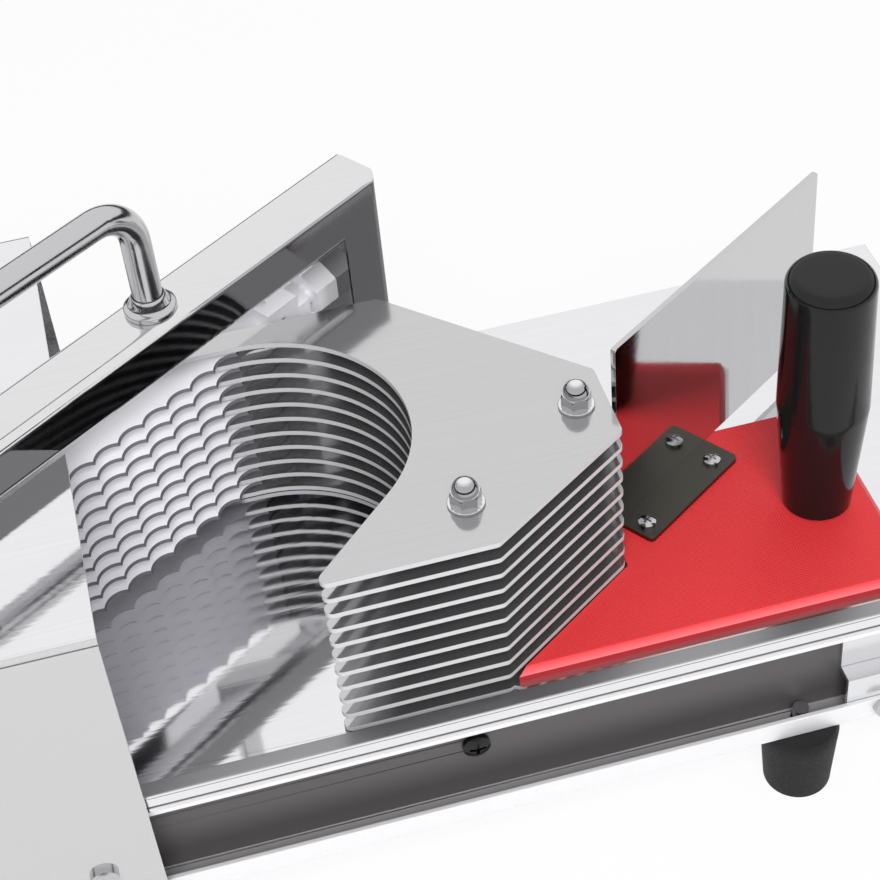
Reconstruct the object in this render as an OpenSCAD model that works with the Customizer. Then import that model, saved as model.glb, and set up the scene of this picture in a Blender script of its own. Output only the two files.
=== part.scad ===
// Tomato slicer: a hand-pushed carriage of stacked plates drives the food through slanted scalloped blades.
// X runs along the slide towards the grip, Y away from the operator's side, Z up.
// The origin is on the table, under the middle of the base.

/* [Base] */
// Length of the base along the slide
base_l = 376; // [370:2:440]
// Width of the base over its side channels
base_w = 153; // [151:1:171]
// Thickness of the folded sheets
sheet_t = 1.5; // [1.2:0.1:2]
// Height of the side channels
channel_h = 36.5; // [32:0.5:50]
// Depth of the side channels
channel_d = 10; // [9:0.5:14]
// Height of the upturned lip on the lower flange of a channel
channel_lip_h = 7; // [6.5:0.5:10]
// Width of a brace
brace_w = 20; // [16:1:30]
// Depth of a brace below the base plate
brace_h = 25; // [22:1:30]
// Diameter of the small screws in the base
base_screw_d = 4; // [3:0.5:5]

/* [Feet] */
// Height of a rubber foot
foot_h = 24; // [16:1:34]
// Diameter of a rubber foot at its top
foot_d = 22; // [18:1:26]
// Diameter of a rubber foot at the table
foot_base_d = 19; // [16:1:24]
// Distance of the right feet from the base's right end
foot_right_in = 79; // [30:1:90]
// Distance of the left feet from the base's left end
foot_left_in = 38; // [30:1:90]
// Diameter of the screw that holds a foot
foot_screw_d = 5; // [4:0.5:6]

/* [Corner brackets] */
// Length of a corner bracket
bracket_l = 64; // [50:1:66]
// Depth of the bracket's shelf below the slide surface
bracket_drop = 22; // [18:1:26]
// Diameter of the bolt through a bracket
bracket_bolt_d = 4; // [3:0.5:4.5]

/* [Guides] */
// Height of the gap that holds the carriage plate's front edge down
guide_gap = 2.6; // [2.4:0.1:3.2]
// Width of the front rail's foot
rail_foot_w = 3; // [2.6:0.1:4]
// Width of the front rail over its lip
rail_lip_w = 5.2; // [4.6:0.1:6]
// Height of the groove under the front rail's outer face
rail_groove_h = 0.9; // [0.6:0.1:1.2]
// Depth of that groove
rail_groove_d = 1; // [0.6:0.1:1.2]
// Thickness of the front rail's lip
rail_lip_t = 1.8; // [1.4:0.1:2]
// How far the front rail runs on under the housing
rail_overrun = 71; // [60:1:90]
// How far the rear guide runs past the plates
guide_overrun = 30; // [26:1:40]
// Width of the rear guide strip
rear_guide_w = 6; // [4:0.5:8]
// Height of the rear guide strip
rear_guide_h = 1.9; // [1.7:0.1:2]
// Stroke of the carriage from its rest place to the end of the cut
stroke = 130; // [128:1:131]
// Side play of the carriage in its guides
side_play = 0.4; // [0.2:0.1:0.6]
// Running gap under the carriage
slide_gap = 0.2; // [0.1:0.05:0.3]

/* [Pusher plates] */
// Number of pusher plates, the carriage plate included
plate_count = 11; // [11:1:11]
// Slice thickness, which is the pitch of the plates and of the blades
slice_t = 5.5; // [5.2:0.1:6]
// Thickness of a pusher plate
plate_t = 1.5; // [1.2:0.1:1.8]
// Radius of the mouth that takes the food
mouth_r = 40; // [36:0.5:40]
// Middle of the mouth from the blades' crossing, with the carriage at rest
mouth_from_blades = 37; // [34:0.5:40]
// Front edge of the plates from the base's edge
plate_front_in = 8.5; // [8:0.5:11]
// Far edge of the plates from the base's far edge
plate_far_in = 43; // [42.5:0.5:46]
// Width of the far arm
arm_w = 7.5; // [6:0.5:9]
// Front right corner of the plates from the blades' crossing
plate_corner_from_blades = 87.1; // [84:0.1:90]
// Length of the slanted side
plate_slant_l = 49.5; // [46:0.5:52]
// Length of the right side
plate_side_l = 25; // [20:0.5:28]
// Length of the straight part of the far arm
arm_l = 25.5; // [22:0.5:30]
// Radius of the plates' corners
plate_corner_r = 2; // [1:0.5:3]

/* [Stack bolts] */
// Diameter of the two bolts through the plates
stack_bolt_d = 5; // [4:0.5:6]
// Diameter of a spacer between two plates
spacer_d = 9; // [8:0.5:11]
// Distance of the bolts from the slanted side
stack_bolt_in = 15.3; // [12:0.1:17]
// Places of the bolts along the slanted side
stack_bolt_at = [5.5, 49.9]; // [4:0.1:52]
// Width across the flats of a cap nut
cap_nut_af = 7.2; // [7:0.1:10]
// Height of a cap nut
cap_nut_h = 7.6; // [7:0.1:8.5]
// Thickness of the washer under a cap nut
cap_washer_t = 0.8; // [0.6:0.1:1]

/* [Cutting board] */
// Thickness of the cutting board
board_t = 4; // [3.5:0.5:8]
// Front edge of the cutting board from the base's edge
board_front_in = 9.5; // [9:0.5:12]
// Width of the cutting board
board_w = 72; // [66:0.5:76]
// Right end of the cutting board from the plates' right side
board_run = 73.85; // [70:0.05:80]
// Gap between the cutting board and the plates
board_gap = 0.6; // [0.4:0.1:1]
// Bevel along the cutting board's edges
board_bevel = 1.8; // [1:0.1:2]
// Clearance between the cutting board and the blades at the end of the stroke
board_clear = 1.5; // [1:0.1:3]
// Radius of the cutting board's right corners
board_corner_r = 5; // [3:0.5:8]

/* [Guard] */
// Lower left corner of the hand guard from the plates' right corner, along X
guard_gap = 3.05; // [2.5:0.05:5]
// Lower left corner of the hand guard from the plates' right corner, along Y
guard_up = 15.2; // [13:0.1:20]
// Length of the hand guard
guard_l = 94; // [80:1:100]
// Height of the hand guard
guard_h = 63; // [50:1:70]
// Length of the guard's foot
guard_foot_l = 41; // [38:1:50]
// Width of the guard's foot
guard_foot_w = 11.5; // [11:0.5:14]
// Places of the two guard screws along the foot
guard_screw_at = [4.2, 35]; // [4:0.1:44]
// Diameter of a guard screw
guard_screw_d = 2.6; // [2.4:0.1:4]

/* [Grip] */
// Middle of the grip from the cutting board's right end
grip_right_in = 15.5; // [14:0.1:20]
// Middle of the grip from the cutting board's front edge
grip_front_in = 35.3; // [20:0.1:50]
// Height of the grip
grip_h = 80; // [70:1:95]
// Diameter of the grip at its foot
grip_foot_d = 19; // [17:0.5:21]
// Largest diameter of the grip
grip_d = 25; // [23:0.5:28]
// Diameter of the grip at its top
grip_top_d = 23.6; // [22:0.2:25]
// Diameter of the stud in the grip
grip_stud_d = 8; // [6:0.5:9]

/* [Blades] */
// Angle between the blades and the slide
blade_angle = 35; // [34:0.5:36]
// Where the blades' cutting plane crosses the middle of the base, from the base's left end
blade_cross_in = 129.5; // [128:0.5:131]
// Thickness of a blade
blade_t = 0.8; // [0.6:0.1:1]
// Width of a blade
blade_w = 12; // [10:0.5:12]
// Pitch of the scallops
scallop_pitch = 8.85; // [7:0.05:10]
// Radius of a scallop
scallop_r = 5.7; // [5.2:0.1:8]
// Width of the ground bevel
bevel_w = 0.5; // [0.3:0.1:1]
// Diameter of the pins through the blades' ends
blade_pin_d = 3; // [2.5:0.5:4]

/* [Blade frame] */
// Height of the frame's tube above the slide surface
tube_z = 68; // [67:0.5:72]
// Depth of the tube
tube_w = 17; // [16:1:24]
// Height of the tube, and width of its leg
tube_h = 16; // [14:0.5:18]
// Wall of the tube
tube_wall = 1.5; // [1.2:0.1:2]
// How far the tube stands out in front of the blades
tube_front = 5.5; // [4:0.5:6]
// Radius of the tube's edges
tube_r = 3; // [1:0.5:4]
// Width of the frame's leg along the blades
leg_w = 15.5; // [12:0.5:17]
// Distance of the frame's far corner from the base's far edge
frame_far_in = 8.2; // [7:0.1:10]
// Distance of the frame's near corner from the base's front edge
frame_near_in = 0.9; // [0.6:0.1:4]
// Length of the far blade holder
far_holder_l = 11.5; // [11:0.5:12]
// Clearance between the plates' far edge and the far blade holder
far_holder_gap = 1.3; // [1:0.1:2]
// Length of the near blade holder
near_holder_l = 10; // [9:0.5:12]
// Inner side of the near blade holder from the frame's near end
near_holder_in = 16; // [15:0.5:17]
// Diameter of a tension bolt
tension_bolt_d = 7; // [5:0.5:8]
// Heights of the tension bolts above the slide surface
tension_bolt_z = [10, 50]; // [8:0.5:54]

/* [Lift handle] */
// Diameter of the handle's rod
rod_d = 8; // [7:0.5:10]
// Height of the rod's middle above the tube
rod_rise = 34; // [28:1:42]
// Bend radius of the rod
rod_bend = 12; // [10:0.5:14]
// Places of the handle's legs along the blades
rod_at = [-58, 24]; // [-64:1:34]
// Diameter of the collar at the foot of a leg
collar_d = 14; // [12:0.5:16]
// Height of the collar
collar_h = 5; // [4:0.5:7]

/* [Housing] */
// Length of the housing over the outlet
housing_l = 118.5; // [116:0.5:120]
// Height of the housing's top above the lower side of the frame's tube
housing_rise = 1.7; // [1.6:0.1:6]
// Gap between the housing's walls and the base
housing_gap = 2.8; // [2.4:0.1:4]
// Clearance round the blade frame in the housing's top
slot_gap = 1; // [0.5:0.1:1.5]
// Distance of the housing's screws from its ends
housing_screw_in = 15; // [10:0.5:24]

/* [Hidden] */

$fn = 48;
// Overshoot of a cut past the faces that it opens
cut = 1;
// Play of a screw or pin in its hole
hole_play = 0.3;
// Fit of a threaded piece in its seat
thread_fit = 0.05;

// Main levels and edges
slide_z = foot_h + channel_h + sheet_t;
edge_y = base_w / 2;
base_right = base_l / 2;
web_y = edge_y - channel_d;
blade_cross_x = -base_right + blade_cross_in;
foot_x = [base_right - foot_right_in, -base_right + foot_left_in];
bracket_end = base_right - 3;
bracket_x = bracket_end - bracket_l;
housing_right_x = -base_right + housing_l;
housing_screw_x = [-base_right + housing_screw_in, housing_right_x - housing_screw_in];
left_brace_x = (housing_screw_x[0] + housing_screw_x[1]) / 2;
rail_left = housing_right_x - rail_overrun;
channel_bottom = foot_h;
channel_top = foot_h + channel_h;
wall_y = edge_y + housing_gap;
foot_y = edge_y - channel_d / 2;
screw_z = slide_z - 17;
bracket_bolt_x = bracket_x + 10;
bracket_bolt_z = channel_bottom + channel_lip_h / 2 + sheet_t / 2;

// Levels of the plates and the blades above the slide surface
function plate_z(k) = slide_gap + k * slice_t;
spacer_h = slice_t - plate_t;
function blade_z(k) = plate_z(k) + plate_t + spacer_h / 2 - blade_t / 2;
stack_top = plate_z(plate_count - 1) + plate_t;
blade_count = plate_count - 1;

// Outline of a pusher plate
plate_front_y = -edge_y + plate_front_in;
plate_far_y = edge_y - plate_far_in;
plate_corner_x = blade_cross_x + plate_corner_from_blades;
mouth_x = blade_cross_x + mouth_from_blades;
mouth_y = plate_far_y - arm_w - mouth_r;
mouth_xy = [mouth_x, mouth_y];
arm_tip_x = mouth_x - arm_l;
slant = [cos(blade_angle), sin(blade_angle)];
inward = [-sin(blade_angle), cos(blade_angle)];
corner_b = [plate_corner_x, plate_front_y];
corner_c = corner_b + plate_slant_l * slant;
corner_d = corner_c + [0, plate_side_l];
corner_e = [corner_d[0] - (plate_far_y - corner_d[1]), plate_far_y];
mouth_tangent = mouth_xy + mouth_r * [cos(-45), sin(-45)];
tip_a = [mouth_tangent[0] - (mouth_tangent[1] - plate_front_y), plate_front_y];
mouth_top = [mouth_x, mouth_y + mouth_r];
arm_inner_y = mouth_y + mouth_r;
stack_bolts_xy = [for (a = stack_bolt_at) corner_b + a * slant + stack_bolt_in * inward];

// Cutting board, guard and grip
board_front_y = -edge_y + board_front_in;
board_far_y = board_front_y + board_w;
board_right_x = corner_c[0] + board_run;
guard_xy = corner_c + [guard_gap, guard_up];
grip_xy = [board_right_x - grip_right_in, board_front_y + grip_front_in];
board_z = plate_z(0) + plate_t;
board_top = board_z + board_t;
board_left_front = corner_b + [board_gap / sin(blade_angle), 0]
    + (board_front_y - plate_front_y) / sin(blade_angle) * slant;
carriage_front_y = -edge_y + rail_foot_w + side_play;
carriage_margin = 1;
stack_head_d = stack_bolt_d * 1.8;
grip_head_d = grip_stud_d * 1.75;
guard_screw_y = -guard_foot_w * 0.57;

// Blade frame, along the blades and across them
tube_back = tube_w - tube_front;
holder_gap = 0.5;
holder_w = blade_w;
frame_far = (edge_y - frame_far_in - tube_back * cos(blade_angle)) / sin(blade_angle);
frame_near = -(edge_y - frame_near_in - tube_front * cos(blade_angle)) / sin(blade_angle);
leg_in = frame_far - leg_w;
near_holder_at = frame_near + near_holder_in;
far_holder_at = (plate_far_y + far_holder_gap - holder_gap * cos(blade_angle)) / sin(blade_angle);
slot_t = blade_t + 0.2;
slot_end_gap = 0.5;
near_slot_l = near_holder_l * 0.7;
far_slot_l = far_holder_l * 0.55;
blade_from = near_holder_at - near_slot_l + slot_end_gap;
blade_to = far_holder_at + far_slot_l - slot_end_gap;
near_pin_at = near_holder_at - near_slot_l / 2;
far_pin_at = far_holder_at + far_slot_l / 2;
holder_mid = holder_gap + holder_w / 2;
far_holder_z = rear_guide_h + 0.5;
far_holder_top = blade_z(blade_count - 1) + blade_t + 4;
scallop_half = scallop_pitch / 2;
scallop_out = sqrt(scallop_r * scallop_r - scallop_half * scallop_half);
scallop_margin = 4;
nut_t = 8;
lock_nut_t = 4.5;
nut_af = tension_bolt_d * 12 / 7;
head_t = 4;
leg_foot_t = 4;
pin_from = 2.6;
pin_to = far_holder_top - 1;
frame_screw_at = [[leg_in + leg_w / 2, tube_back - tube_w / 2, 6],
    [near_holder_at - near_holder_l + 3, holder_mid, 4]];
right_brace_x = blade_cross_x + frame_screw_at[0][0] * slant[0] + frame_screw_at[0][1] * inward[0];
brace_x = [right_brace_x, left_brace_x];

// Points of a polygon whose corners [x, y, r] are rounded to r
function unit(v) = v / norm(v);
function fillet(p, q, w, r, steps) =
    let (c = [q[0], q[1]], a = unit([p[0], p[1]] - c), b = unit([w[0], w[1]] - c),
        half = acos(a * b) / 2, d = r / tan(half), centre = c + unit(a + b) * r / sin(half),
        from = c + a * d - centre, to = c + b * d - centre,
        turn = acos(max(-1, min(1, from * to / (r * r)))),
        side = from[0] * to[1] - from[1] * to[0] > 0 ? 1 : -1)
    [for (i = [0 : steps]) let (t = side * turn * i / steps)
        centre + [from[0] * cos(t) - from[1] * sin(t), from[0] * sin(t) + from[1] * cos(t)]];
function rounded(pts, steps = 6) = [for (i = [0 : len(pts) - 1])
    let (n = len(pts), p = pts[(i + n - 1) % n], q = pts[i], w = pts[(i + 1) % n])
    each (q[2] > 0 ? fillet(p, q, w, q[2], steps) : [[q[0], q[1]]])];
function with_r(p, r) = [p[0], p[1], r];

// A rounded rectangle from corner lo to corner hi
module round_rect(lo, hi, r) {
    polygon(rounded([[lo[0], lo[1], r], [hi[0], lo[1], r], [hi[0], hi[1], r], [lo[0], hi[1], r]]));
}

// A box from corner lo to corner hi
module box(lo, hi) {
    translate(lo) cube(hi - lo);
}

// A profile drawn in Y and Z, swept along X
module along_x(from, to) {
    translate([from, 0, 0]) rotate([90, 0, 90]) linear_extrude(to - from) children();
}

// Children drawn along the blades: X along them, Y towards the outlet, Z from the slide surface
module blade_axes() {
    translate([blade_cross_x, 0, slide_z]) rotate([0, 0, blade_angle]) children();
}

// A hexagon prism of a given width across its flats
module hexagon(af, h) {
    cylinder(d = af / cos(30), h = h, $fn = 6);
}

// A pan-head screw along Z: head above z = 0 with a cross recess, shank below
module pan_screw(d, l) {
    head_d = 1.9 * d;
    head_h = 0.65 * d;
    slot_w = 0.22 * d;
    slot_l = 1.1 * d;
    translate([0, 0, -l]) cylinder(d = d, h = l);
    difference() {
        intersection() {
            cylinder(d = head_d, h = head_h);
            translate([0, 0, -1.15 * d]) sphere(d = 3.6 * d);
        }
        for (a = [0, 90]) rotate([0, 0, a])
            box([-slot_l / 2, -slot_w / 2, head_h / 2], [slot_l / 2, slot_w / 2, 2 * head_h]);
    }
}

// Base
module base_plate() {
    color("gainsboro") difference() {
        box([-base_right, -edge_y, channel_top], [base_right, edge_y, slide_z]);
        blade_axes() for (p = frame_screw_at) translate([p[0], p[1], -sheet_t - cut])
            cylinder(d = p[2] + hole_play, h = sheet_t + 2 * cut);
    }
}

module channel_profile() {
    polygon([[-edge_y, channel_top], [-edge_y, channel_top - sheet_t], [-web_y - sheet_t, channel_top - sheet_t],
        [-web_y - sheet_t, channel_bottom + sheet_t], [-edge_y + sheet_t, channel_bottom + sheet_t],
        [-edge_y + sheet_t, channel_bottom + channel_lip_h], [-edge_y, channel_bottom + channel_lip_h],
        [-edge_y, channel_bottom], [-web_y, channel_bottom], [-web_y, channel_top]]);
}

module channel() {
    difference() {
        along_x(-base_right, base_right) channel_profile();
        for (x = concat(brace_x, housing_screw_x)) translate([x, -web_y + cut, screw_z]) rotate([90, 0, 0])
            cylinder(d = base_screw_d + hole_play, h = sheet_t + 2 * cut);
        for (x = foot_x) translate([x, -foot_y, channel_bottom - cut])
            cylinder(d = foot_screw_d + hole_play, h = sheet_t + 2 * cut);
        translate([bracket_bolt_x, -edge_y - cut, bracket_bolt_z]) rotate([-90, 0, 0])
            cylinder(d = bracket_bolt_d + hole_play, h = sheet_t + 2 * cut);
    }
}

module front_channel() { color("silver") channel(); }
module rear_channel() { color("silver") mirror([0, 1, 0]) channel(); }

module cross_member(side) {
    end = base_right - 1.5;
    flange = 12;
    color("silver") mirror([side < 0 ? 1 : 0, 0, 0]) union() {
        box([end - sheet_t, -web_y, channel_bottom], [end, web_y, channel_top]);
        box([end - flange, -web_y, channel_bottom], [end, web_y, channel_bottom + sheet_t]);
        box([end - flange, -web_y, channel_top - sheet_t], [end, web_y, channel_top]);
    }
}
module left_cross_member() { cross_member(-1); }
module right_cross_member() { cross_member(1); }

module brace(x) {
    bottom = channel_top - brace_h;
    half = brace_w / 2;
    color("silver") difference() {
        union() {
            box([x - half, -web_y, bottom], [x - half + sheet_t, web_y, channel_top]);
            box([x + half - sheet_t, -web_y, bottom], [x + half, web_y, channel_top]);
            box([x - half, -web_y, channel_top - sheet_t], [x + half, web_y, channel_top]);
            for (s = [-1, 1]) box([x - half, s * (web_y - sheet_t / 2) - sheet_t / 2, bottom],
                [x + half, s * (web_y - sheet_t / 2) + sheet_t / 2, channel_top]);
        }
        for (s = [-1, 1]) translate([x, s * web_y, screw_z]) rotate([90, 0, 0])
            cylinder(d = base_screw_d + thread_fit, h = 4 * sheet_t, center = true);
        blade_axes() translate([frame_screw_at[0][0], frame_screw_at[0][1], -2 * sheet_t - cut])
            cylinder(d = frame_screw_at[0][2] + hole_play, h = sheet_t + 2 * cut);
    }
}
module left_brace() { brace(left_brace_x); }
module right_brace() { brace(right_brace_x); }

module brace_screws() {
    color("gray") for (x = brace_x, s = [0, 1]) mirror([0, s, 0])
        translate([x, -web_y - sheet_t, screw_z]) rotate([90, 0, 0]) pan_screw(base_screw_d, 2 * sheet_t + 1);
}

// Right end: a shelf in each channel, with a down-turned tab behind the channel's lip
module corner_brackets() {
    shelf = slide_z - bracket_drop;
    end = bracket_end;
    tab_y = edge_y - sheet_t;
    color("gainsboro") for (s = [0, 1]) mirror([0, s, 0]) difference() {
        union() {
            box([bracket_x, -web_y - 2 * sheet_t, shelf - sheet_t], [end, -web_y - sheet_t, channel_top - sheet_t]);
            box([bracket_x, -tab_y, shelf - sheet_t], [end, -web_y - sheet_t, shelf]);
            box([bracket_x, -tab_y, channel_bottom + sheet_t], [end, -tab_y + sheet_t, shelf]);
        }
        translate([bracket_bolt_x, -edge_y - cut, bracket_bolt_z]) rotate([-90, 0, 0])
            cylinder(d = bracket_bolt_d + thread_fit, h = 3 * sheet_t + cut);
    }
}

module bracket_bolts() {
    color("silver") for (s = [0, 1]) mirror([0, s, 0])
        translate([bracket_bolt_x, -edge_y, bracket_bolt_z]) rotate([90, 0, 0]) {
            translate([0, 0, -2 * sheet_t - 2]) cylinder(d = bracket_bolt_d, h = 2 * sheet_t + 2);
            hexagon(bracket_bolt_d * 1.3, bracket_bolt_d * 0.45);
        }
}

module rubber_feet() {
    color([0.08, 0.08, 0.08]) for (x = foot_x, s = [-1, 1]) translate([x, s * foot_y, 0]) rotate_extrude()
        polygon([[foot_screw_d / 2 + hole_play, 3], [foot_base_d / 2 - 3, 3], [foot_base_d / 2 - 3, 0],
            [foot_base_d / 2 - 0.8, 0], [foot_base_d / 2, 0.8], [foot_d / 2, foot_h - 2],
            [foot_d / 2 - 0.8, foot_h], [foot_screw_d / 2 + hole_play, foot_h]]);
}

module foot_screws() {
    color("silver") for (x = foot_x, s = [-1, 1]) translate([x, s * foot_y, 3]) rotate([180, 0, 0])
        pan_screw(foot_screw_d * 0.9, foot_h - 3 + sheet_t + 4);
}

// Guides
module front_rail() {
    outer = -edge_y;
    foot = outer + rail_foot_w;
    low = slide_z + guide_gap;
    top = low + rail_lip_t;
    color("white") along_x(rail_left, base_right) polygon(rounded([[outer + rail_groove_d, slide_z, 0],
        [foot, slide_z, 0], [foot, low, 0], [outer + rail_lip_w, low, 0], [outer + rail_lip_w, top, 0.4],
        [outer, top, rail_lip_t * 0.6], [outer, slide_z + rail_groove_h, 0],
        [outer + rail_groove_d, slide_z + rail_groove_h, 0]]));
}

module rear_guide() {
    y = plate_far_y + side_play;
    color("gainsboro") box([-base_right + 2, y, slide_z],
        [corner_e[0] + guide_overrun, y + rear_guide_w, slide_z + rear_guide_h]);
}

// Housing over the outlet: a folded sheet with a slot for the blade frame
module housing() {
    rise = tube_z + housing_rise;
    top = slide_z + rise;
    low = channel_bottom + 1;
    color("gainsboro") difference() {
        along_x(-base_right, housing_right_x) polygon(concat(
            rounded([[-wall_y - sheet_t, low, 0], [-wall_y - sheet_t, top, 2 * sheet_t],
                [wall_y + sheet_t, top, 2 * sheet_t], [wall_y + sheet_t, low, 0]]),
            rounded([[wall_y, low, 0], [wall_y, top - sheet_t, sheet_t],
                [-wall_y, top - sheet_t, sheet_t], [-wall_y, low, 0]])));
        blade_axes() box([frame_near - sheet_t - slot_gap, -tube_front - slot_gap, rise - sheet_t - cut],
            [base_l, max(tube_back, holder_gap + holder_w) + slot_gap, rise + cut]);
        for (x = housing_screw_x) translate([x, 0, screw_z]) rotate([90, 0, 0])
            cylinder(d = base_screw_d + hole_play, h = 2 * base_w, center = true);
    }
}

module housing_standoffs() {
    color("silver") for (x = housing_screw_x, s = [0, 1]) mirror([0, s, 0])
        translate([x, -web_y - sheet_t, screw_z]) rotate([90, 0, 0]) difference() {
            hexagon(base_screw_d * 2, wall_y - web_y - sheet_t);
            translate([0, 0, -cut]) cylinder(d = base_screw_d + hole_play, h = wall_y - web_y + 2 * cut);
        }
}

module housing_screws() {
    color("silver") for (x = housing_screw_x, s = [0, 1]) mirror([0, s, 0])
        translate([x, -wall_y - sheet_t, screw_z]) rotate([90, 0, 0])
            pan_screw(base_screw_d, wall_y - web_y + sheet_t + 2);
}

// Blade frame
module tube_profile(inset) {
    round_rect([-tube_front + inset, inset], [tube_back - inset, tube_h - inset], max(tube_r - inset, 0.4));
}

module blade_frame() {
    color("lightgray") blade_axes() difference() {
        union() {
            translate([0, 0, tube_z]) along_x(frame_near, frame_far - tube_r) tube_profile(0);
            intersection() {
                linear_extrude(tube_z + tube_h) polygon(rounded([[leg_in, -tube_front, 0.5],
                    [frame_far, -tube_front, tube_r], [frame_far, tube_back, tube_r], [leg_in, tube_back, 0.5]]));
                along_x(leg_in - cut, frame_far + cut) polygon(rounded([[-tube_front, -cut, 0], [tube_back, -cut, 0],
                    [tube_back, tube_z + tube_h, tube_r], [-tube_front, tube_z + tube_h, tube_r]]));
            }
        }
        translate([0, 0, tube_z]) along_x(frame_near - cut, frame_far - tube_wall) tube_profile(tube_wall);
        translate([0, 0, leg_foot_t]) linear_extrude(tube_z)
            round_rect([leg_in + tube_wall, -tube_front + tube_wall], [frame_far - tube_wall, tube_back - tube_wall],
                max(tube_r - tube_wall, 0.4));
        for (z = tension_bolt_z) translate([leg_in - cut, holder_mid, z]) rotate([0, 90, 0])
            cylinder(d = tension_bolt_d + hole_play, h = leg_w + 2 * cut);
        translate([frame_screw_at[0][0], frame_screw_at[0][1], -cut])
            cylinder(d = frame_screw_at[0][2] + thread_fit, h = leg_foot_t + 2 * cut);
        for (s = rod_at) translate([s, tube_back - tube_w / 2, tube_z + tube_h - tube_wall - cut])
            cylinder(d = rod_d + thread_fit, h = tube_wall + 2 * cut);
        translate([near_holder_at - near_holder_l / 2, holder_mid, tube_z - cut])
            cylinder(d = base_screw_d + hole_play, h = tube_wall + 2 * cut);
    }
}

module frame_end_cap() {
    color("gray") blade_axes() translate([0, 0, tube_z]) union() {
        along_x(frame_near - sheet_t, frame_near) tube_profile(0);
        along_x(frame_near, frame_near + 6) tube_profile(tube_wall + thread_fit);
    }
}

module blade_slots(from, to) {
    for (k = [0 : blade_count - 1]) box([from, holder_gap - cut, blade_z(k) - 0.1],
        [to, holder_gap + holder_w + cut, blade_z(k) - 0.1 + slot_t]);
}

module near_holder() {
    color("silver") blade_axes() difference() {
        box([near_holder_at - near_holder_l, holder_gap, 0], [near_holder_at, holder_gap + holder_w, tube_z]);
        blade_slots(near_holder_at - near_slot_l, near_holder_at + cut);
        translate([near_pin_at, holder_mid, pin_from]) cylinder(d = blade_pin_d + thread_fit, h = tube_z);
        translate([frame_screw_at[1][0], frame_screw_at[1][1], -cut])
            cylinder(d = frame_screw_at[1][2] + thread_fit, h = 2 + cut);
    }
}

module far_holder() {
    color("silver") blade_axes() difference() {
        box([far_holder_at, holder_gap, far_holder_z],
            [far_holder_at + far_holder_l, holder_gap + holder_w, far_holder_top]);
        blade_slots(far_holder_at - cut, far_holder_at + far_slot_l);
        translate([far_pin_at, holder_mid, pin_from]) cylinder(d = blade_pin_d + thread_fit, h = tube_z);
        for (z = tension_bolt_z) translate([far_holder_at + far_slot_l + 1, holder_mid, z]) rotate([0, 90, 0])
            cylinder(d = tension_bolt_d + thread_fit, h = far_holder_l);
    }
}

module blade_pin(at) {
    color("gray") blade_axes() translate([at, holder_mid, pin_from])
        cylinder(d = blade_pin_d, h = pin_to - pin_from);
}
module near_pin() { blade_pin(near_pin_at); }
module far_pin() { blade_pin(far_pin_at); }

module frame_screws() {
    color("gray") blade_axes() {
        translate([frame_screw_at[0][0], frame_screw_at[0][1], -2 * sheet_t]) rotate([180, 0, 0])
            pan_screw(frame_screw_at[0][2], 2 * sheet_t + leg_foot_t + 2);
        translate([frame_screw_at[1][0], frame_screw_at[1][1], -sheet_t]) rotate([180, 0, 0])
            pan_screw(frame_screw_at[1][2], sheet_t + 1.8);
    }
}

// A blade: hollow-ground scallops between pointed teeth that face the food
module blade(k) {
    count = floor((far_holder_at - near_holder_at - 2 * scallop_margin) / scallop_pitch);
    first = (far_holder_at + near_holder_at) / 2 - (count - 1) / 2 * scallop_pitch;
    color("lightgray") blade_axes() translate([0, 0, blade_z(k)]) difference() {
        box([blade_from, 0, 0], [blade_to, blade_w, blade_t]);
        for (i = [0 : count - 1]) translate([first + i * scallop_pitch, -scallop_out, -blade_t / 2])
            cylinder(r1 = scallop_r - bevel_w / 2, r2 = scallop_r + 1.5 * bevel_w, h = 2 * blade_t);
        for (s = [near_pin_at, far_pin_at]) translate([s, holder_mid, -cut])
            cylinder(d = blade_pin_d + hole_play, h = blade_t + 2 * cut);
        box([blade_from - cut, -cut, -cut], [near_holder_at + cut, holder_gap, blade_t + cut]);
        box([far_holder_at - cut, -cut, -cut], [blade_to + cut, holder_gap, blade_t + cut]);
    }
}

// Tension bolts pull the far holder towards the far leg
module tension_bolts() {
    from = far_holder_at + far_slot_l + 1.5;
    color("silver") blade_axes() for (z = tension_bolt_z) translate([from, holder_mid, z]) rotate([0, 90, 0]) {
        cylinder(d = tension_bolt_d, h = frame_far - from);
        translate([0, 0, frame_far - from]) hexagon(nut_af, head_t);
    }
}

// A nut bears on the leg, and a thinner one locks the bolt in the holder
module tension_nut(at, z, t) {
    translate([at, holder_mid, z]) rotate([0, 90, 0]) difference() {
        intersection() {
            hexagon(nut_af, t);
            translate([0, 0, t / 2]) sphere(d = nut_af * 1.3);
        }
        translate([0, 0, -cut]) cylinder(d = tension_bolt_d + thread_fit, h = t + 2 * cut);
    }
}

module tension_nuts() {
    color("silver") blade_axes() for (z = tension_bolt_z) {
        tension_nut(leg_in - nut_t, z, nut_t);
        tension_nut(far_holder_at + far_holder_l, z, lock_nut_t);
    }
}

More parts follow.
